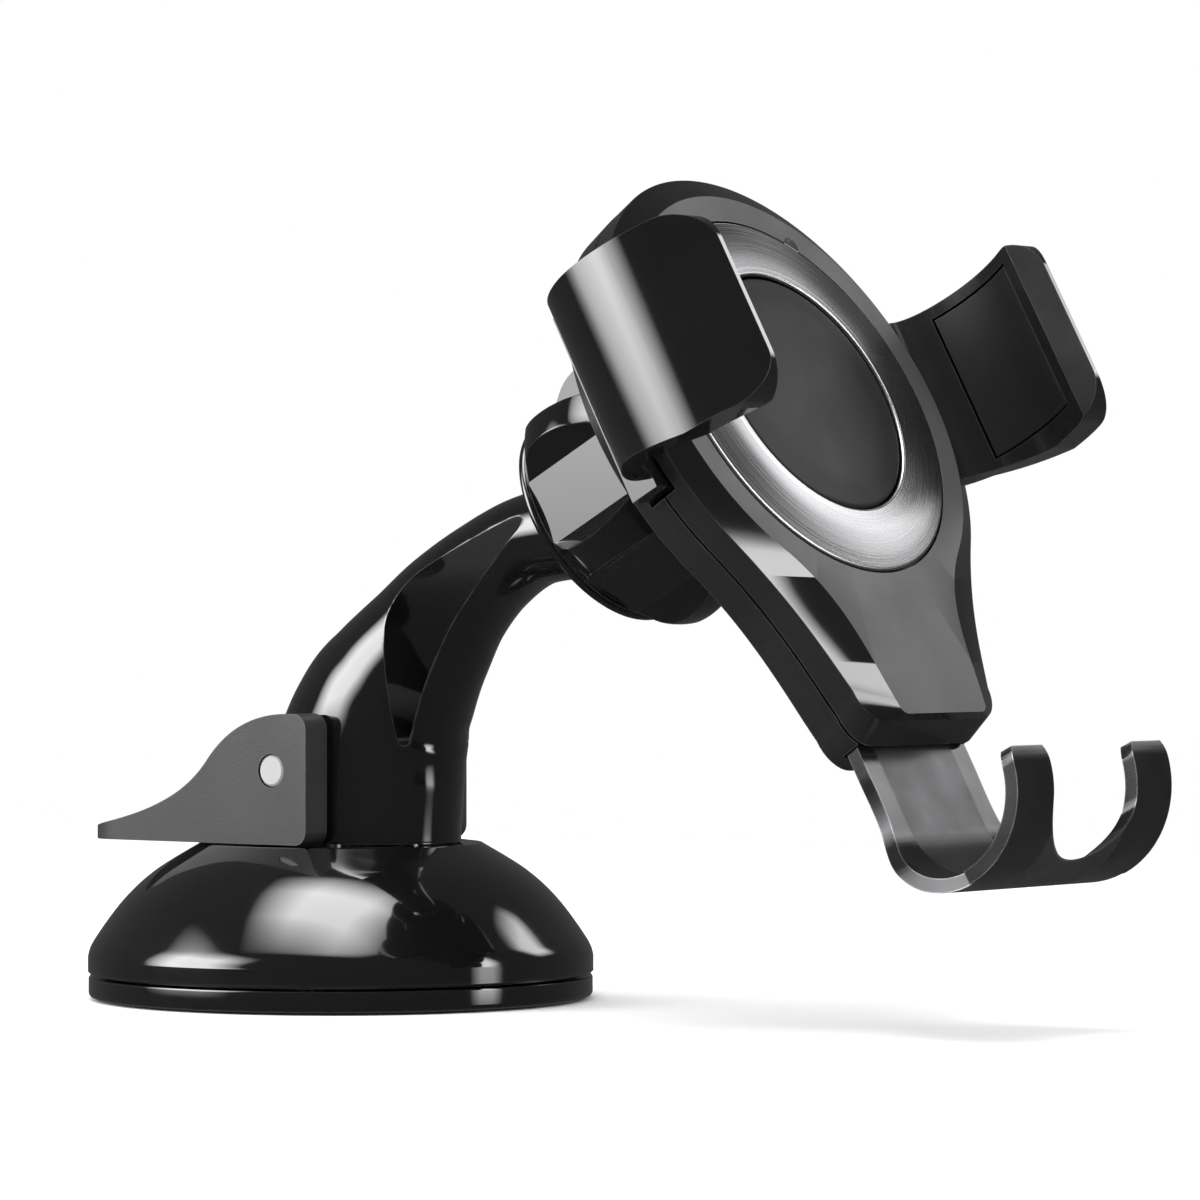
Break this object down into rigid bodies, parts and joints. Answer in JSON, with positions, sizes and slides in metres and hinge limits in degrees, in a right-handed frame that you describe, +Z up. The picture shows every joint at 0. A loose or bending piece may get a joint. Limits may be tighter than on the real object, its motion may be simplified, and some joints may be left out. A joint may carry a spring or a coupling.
{
  "type": "car phone mount",
  "caption": "Suction-base phone mount: domed base with a locking lever, a curved arm, a ball joint and a cradle whose side claws open and close with its bottom hook.",
  "frame": {"origin": "centre of the suction face, the flat underside that sits on a dashboard or desk", "axes": "+Z up out of the suction face, -Y the way the cradle faces, +Y the way the lever points, X across the cradle"},
  "size_m": [0.0908, 0.1634, 0.1136],
  "materials": {
    "piano_black": "high gloss",
    "matte_grey": "fine matte",
    "black_rubber": "matte",
    "spun_metal": "spun, bright",
    "steel": "plain",
    "nylon": "natural, moulded",
    "gunmetal": "satin anodised, gunmetal"
  },
  "bodies": {
    "stand": {"suction_cup": "black_rubber", "base_ring": "piano_black", "base_plate": "nylon", "base_dome": "piano_black", "dome_screw_1": "steel", "dome_screw_2": "steel", "dome_screw_3": "steel", "arm_screw_1": "steel", "arm_screw_2": "steel", "release_spring": "steel", "arm": "piano_black", "ball_stud": "steel"},
    "plunger": {"pull_rod": "nylon"},
    "lever_group": {"lever": "matte_grey", "lever_pin": "spun_metal", "lever_cam": "steel"},
    "tilt_liner": {"ball_liner_inner": "nylon"},
    "pan_liner": {"ball_liner_outer": "nylon"},
    "cradle": {"rear_cover": "piano_black", "front_cover": "matte_grey", "metal_ring": "spun_metal", "center_pad": "black_rubber", "cover_screw_1": "steel", "cover_screw_2": "steel", "cover_screw_3": "steel", "cover_screw_4": "steel", "left_pinion_pin": "steel", "right_pinion_pin": "steel"},
    "nut": {"lock_nut": "piano_black"},
    "hook_slide": {"hook": "gunmetal"},
    "left_jaw": {"left_claw": "piano_black", "left_liner": "black_rubber"},
    "right_jaw": {"right_claw": "piano_black", "right_liner": "black_rubber"},
    "left_gear": {"left_pinion": "nylon"},
    "right_gear": {"right_pinion": "nylon"}
  },
  "joints": [
    {"name": "lever_hinge", "type": "hinge", "parent": "stand", "child": "lever_group", "pos_m": [0, -0.0022, 0.0328], "axis": [1, 0, 0], "range_deg": [0, 60]},
    {"name": "rod_slide", "type": "slide", "parent": "stand", "child": "plunger", "axis": [0, 0, 1], "range_m": [-0.0022, 0], "deforming": ["release_spring", "suction_cup"]},
    {"name": "head_tilt", "type": "hinge", "parent": "stand", "child": "tilt_liner", "pos_m": [0, -0.05299, 0.07101], "axis": [1, 0, 0], "range_deg": [-15, 15]},
    {"name": "head_pan", "type": "hinge", "parent": "tilt_liner", "child": "pan_liner", "pos_m": [0, -0.05299, 0.07101], "axis": [0, 0.4784, 0.8782], "range_deg": [-15, 15]},
    {"name": "head_roll", "type": "hinge", "parent": "pan_liner", "child": "cradle", "pos_m": [0, -0.05299, 0.07101], "axis": [0, -0.8782, 0.4784], "range_deg": [-90, 90]},
    {"name": "nut_turn", "type": "hinge", "parent": "cradle", "child": "nut", "pos_m": [0, -0.05299, 0.07101], "axis": [0, -0.8782, 0.4784], "range_deg": [0, 180]},
    {"name": "hook_travel", "type": "slide", "parent": "cradle", "child": "hook_slide", "axis": [0, 0.4784, 0.8782], "range_m": [0, 0.01]},
    {"name": "left_jaw_slide", "type": "slide", "parent": "cradle", "child": "left_jaw", "axis": [-1, 0, 0], "range_m": [0, 0.01]},
    {"name": "right_jaw_slide", "type": "slide", "parent": "cradle", "child": "right_jaw", "axis": [1, 0, 0], "range_m": [0, 0.01]},
    {"name": "left_gear_spin", "type": "hinge", "parent": "cradle", "child": "left_gear", "pos_m": [-0.0175, -0.07929, 0.07395], "axis": [0, -0.8782, 0.4784], "range_deg": [0, 96]},
    {"name": "right_gear_spin", "type": "hinge", "parent": "cradle", "child": "right_gear", "pos_m": [0.0175, -0.07929, 0.07395], "axis": [0, -0.8782, 0.4784], "range_deg": [-96, 0]}
  ],
  "couplings": [
    {"joint": "rod_slide", "follows": "lever_hinge", "m_per_rad": -0.00191},
    {"joint": "left_jaw_slide", "follows": "hook_travel", "ratio": 1},
    {"joint": "right_jaw_slide", "follows": "hook_travel", "ratio": 1},
    {"joint": "left_gear_spin", "follows": "hook_travel", "rad_per_m": 166.67},
    {"joint": "right_gear_spin", "follows": "hook_travel", "rad_per_m": -166.67}
  ]
}
